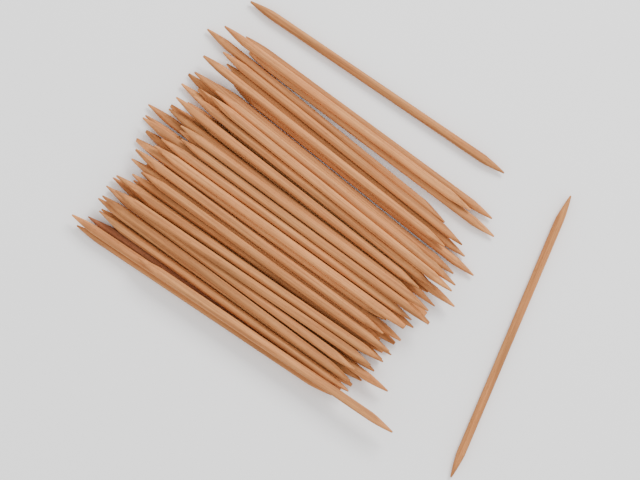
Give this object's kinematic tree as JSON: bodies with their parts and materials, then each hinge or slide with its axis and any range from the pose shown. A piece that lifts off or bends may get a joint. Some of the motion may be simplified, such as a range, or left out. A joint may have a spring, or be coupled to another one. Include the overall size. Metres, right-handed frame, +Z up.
{
  "type": "set of wooden cuticle pushers",
  "caption": "Heap of slim turned wooden cuticle pushers lying side by side, each with a point at one end and a slanted hoof at the other, and two more lying loose.",
  "frame": {"origin": "centre of the set's bounding box, on the table that the sticks lie on", "axes": "+Z up from the table; +X along the set's longer side, the heap's sticks pointing 36 degrees below it; +Y across, towards the loose stick behind the heap"},
  "size_m": [0.1863, 0.1779, 0.0133],
  "materials": {
    "orange_wood": "bare, sanded smooth, matt, with fine lengthwise grain",
    "orange_wood_red": "bare, sanded smooth, matt, a redder piece of the same wood"
  },
  "bodies": {
    "heap": {"floor_sticks_back": "orange_wood", "floor_sticks_front": "orange_wood", "middle_sticks": "orange_wood", "heap_stick_01": "orange_wood", "heap_stick_02": "orange_wood", "heap_stick_03": "orange_wood", "heap_stick_04": "orange_wood", "heap_stick_05": "orange_wood", "heap_stick_06": "orange_wood", "heap_stick_07": "orange_wood", "heap_stick_08": "orange_wood_red", "heap_stick_09": "orange_wood", "heap_stick_10": "orange_wood", "heap_stick_11": "orange_wood", "heap_stick_12": "orange_wood", "heap_stick_13": "orange_wood", "heap_stick_14": "orange_wood", "heap_stick_15": "orange_wood", "heap_stick_16": "orange_wood", "heap_stick_17": "orange_wood", "heap_stick_18": "orange_wood", "heap_stick_19": "orange_wood", "heap_stick_23": "orange_wood", "heap_stick_24": "orange_wood", "heap_stick_27": "orange_wood", "heap_stick_32": "orange_wood", "heap_stick_33": "orange_wood", "heap_stick_38": "orange_wood"},
    "heap_stick_20_body": {"heap_stick_20": "orange_wood"},
    "heap_stick_21_body": {"heap_stick_21": "orange_wood"},
    "heap_stick_22_body": {"heap_stick_22": "orange_wood"},
    "heap_stick_25_body": {"heap_stick_25": "orange_wood"},
    "heap_stick_26_body": {"heap_stick_26": "orange_wood"},
    "heap_stick_28_body": {"heap_stick_28": "orange_wood"},
    "heap_stick_29_body": {"heap_stick_29": "orange_wood"},
    "heap_stick_30_body": {"heap_stick_30": "orange_wood"},
    "heap_stick_31_body": {"heap_stick_31": "orange_wood"},
    "heap_stick_34_body": {"heap_stick_34": "orange_wood"},
    "heap_stick_35_body": {"heap_stick_35": "orange_wood"},
    "heap_stick_36_body": {"heap_stick_36": "orange_wood"},
    "heap_stick_37_body": {"heap_stick_37": "orange_wood"},
    "heap_stick_39_body": {"heap_stick_39": "orange_wood"},
    "loose_stick_back_body": {"loose_stick_back": "orange_wood"},
    "loose_stick_side_body": {"loose_stick_side": "orange_wood"}
  },
  "joints": [
    {"name": "heap_stick_20_lift", "type": "slide", "parent": "heap", "child": "heap_stick_20_body", "axis": [0, 0, 1], "range_m": [0, 0.03]},
    {"name": "heap_stick_21_lift", "type": "slide", "parent": "heap", "child": "heap_stick_21_body", "axis": [0, 0, 1], "range_m": [0, 0.03]},
    {"name": "heap_stick_22_lift", "type": "slide", "parent": "heap", "child": "heap_stick_22_body", "axis": [0, 0, 1], "range_m": [0, 0.03]},
    {"name": "heap_stick_25_lift", "type": "slide", "parent": "heap", "child": "heap_stick_25_body", "axis": [0, 0, 1], "range_m": [0, 0.03]},
    {"name": "heap_stick_26_lift", "type": "slide", "parent": "heap", "child": "heap_stick_26_body", "axis": [0, 0, 1], "range_m": [0, 0.03]},
    {"name": "heap_stick_28_lift", "type": "slide", "parent": "heap", "child": "heap_stick_28_body", "axis": [0, 0, 1], "range_m": [0, 0.03]},
    {"name": "heap_stick_29_lift", "type": "slide", "parent": "heap", "child": "heap_stick_29_body", "axis": [0, 0, 1], "range_m": [0, 0.03]},
    {"name": "heap_stick_30_lift", "type": "slide", "parent": "heap", "child": "heap_stick_30_body", "axis": [0, 0, 1], "range_m": [0, 0.03]},
    {"name": "heap_stick_31_lift", "type": "slide", "parent": "heap", "child": "heap_stick_31_body", "axis": [0, 0, 1], "range_m": [0, 0.03]},
    {"name": "heap_stick_34_lift", "type": "slide", "parent": "heap", "child": "heap_stick_34_body", "axis": [0, 0, 1], "range_m": [0, 0.03]},
    {"name": "heap_stick_35_lift", "type": "slide", "parent": "heap", "child": "heap_stick_35_body", "axis": [0, 0, 1], "range_m": [0, 0.03]},
    {"name": "heap_stick_36_lift", "type": "slide", "parent": "heap", "child": "heap_stick_36_body", "axis": [0, 0, 1], "range_m": [0, 0.03]},
    {"name": "heap_stick_37_lift", "type": "slide", "parent": "heap", "child": "heap_stick_37_body", "axis": [0, 0, 1], "range_m": [0, 0.03]},
    {"name": "heap_stick_39_lift", "type": "slide", "parent": "heap", "child": "heap_stick_39_body", "axis": [0, 0, 1], "range_m": [0, 0.03]},
    {"name": "loose_stick_back_lift", "type": "slide", "parent": "heap", "child": "loose_stick_back_body", "axis": [0, 0, 1], "range_m": [0, 0.03]},
    {"name": "loose_stick_side_lift", "type": "slide", "parent": "heap", "child": "loose_stick_side_body", "axis": [0, 0, 1], "range_m": [0, 0.03]}
  ]
}
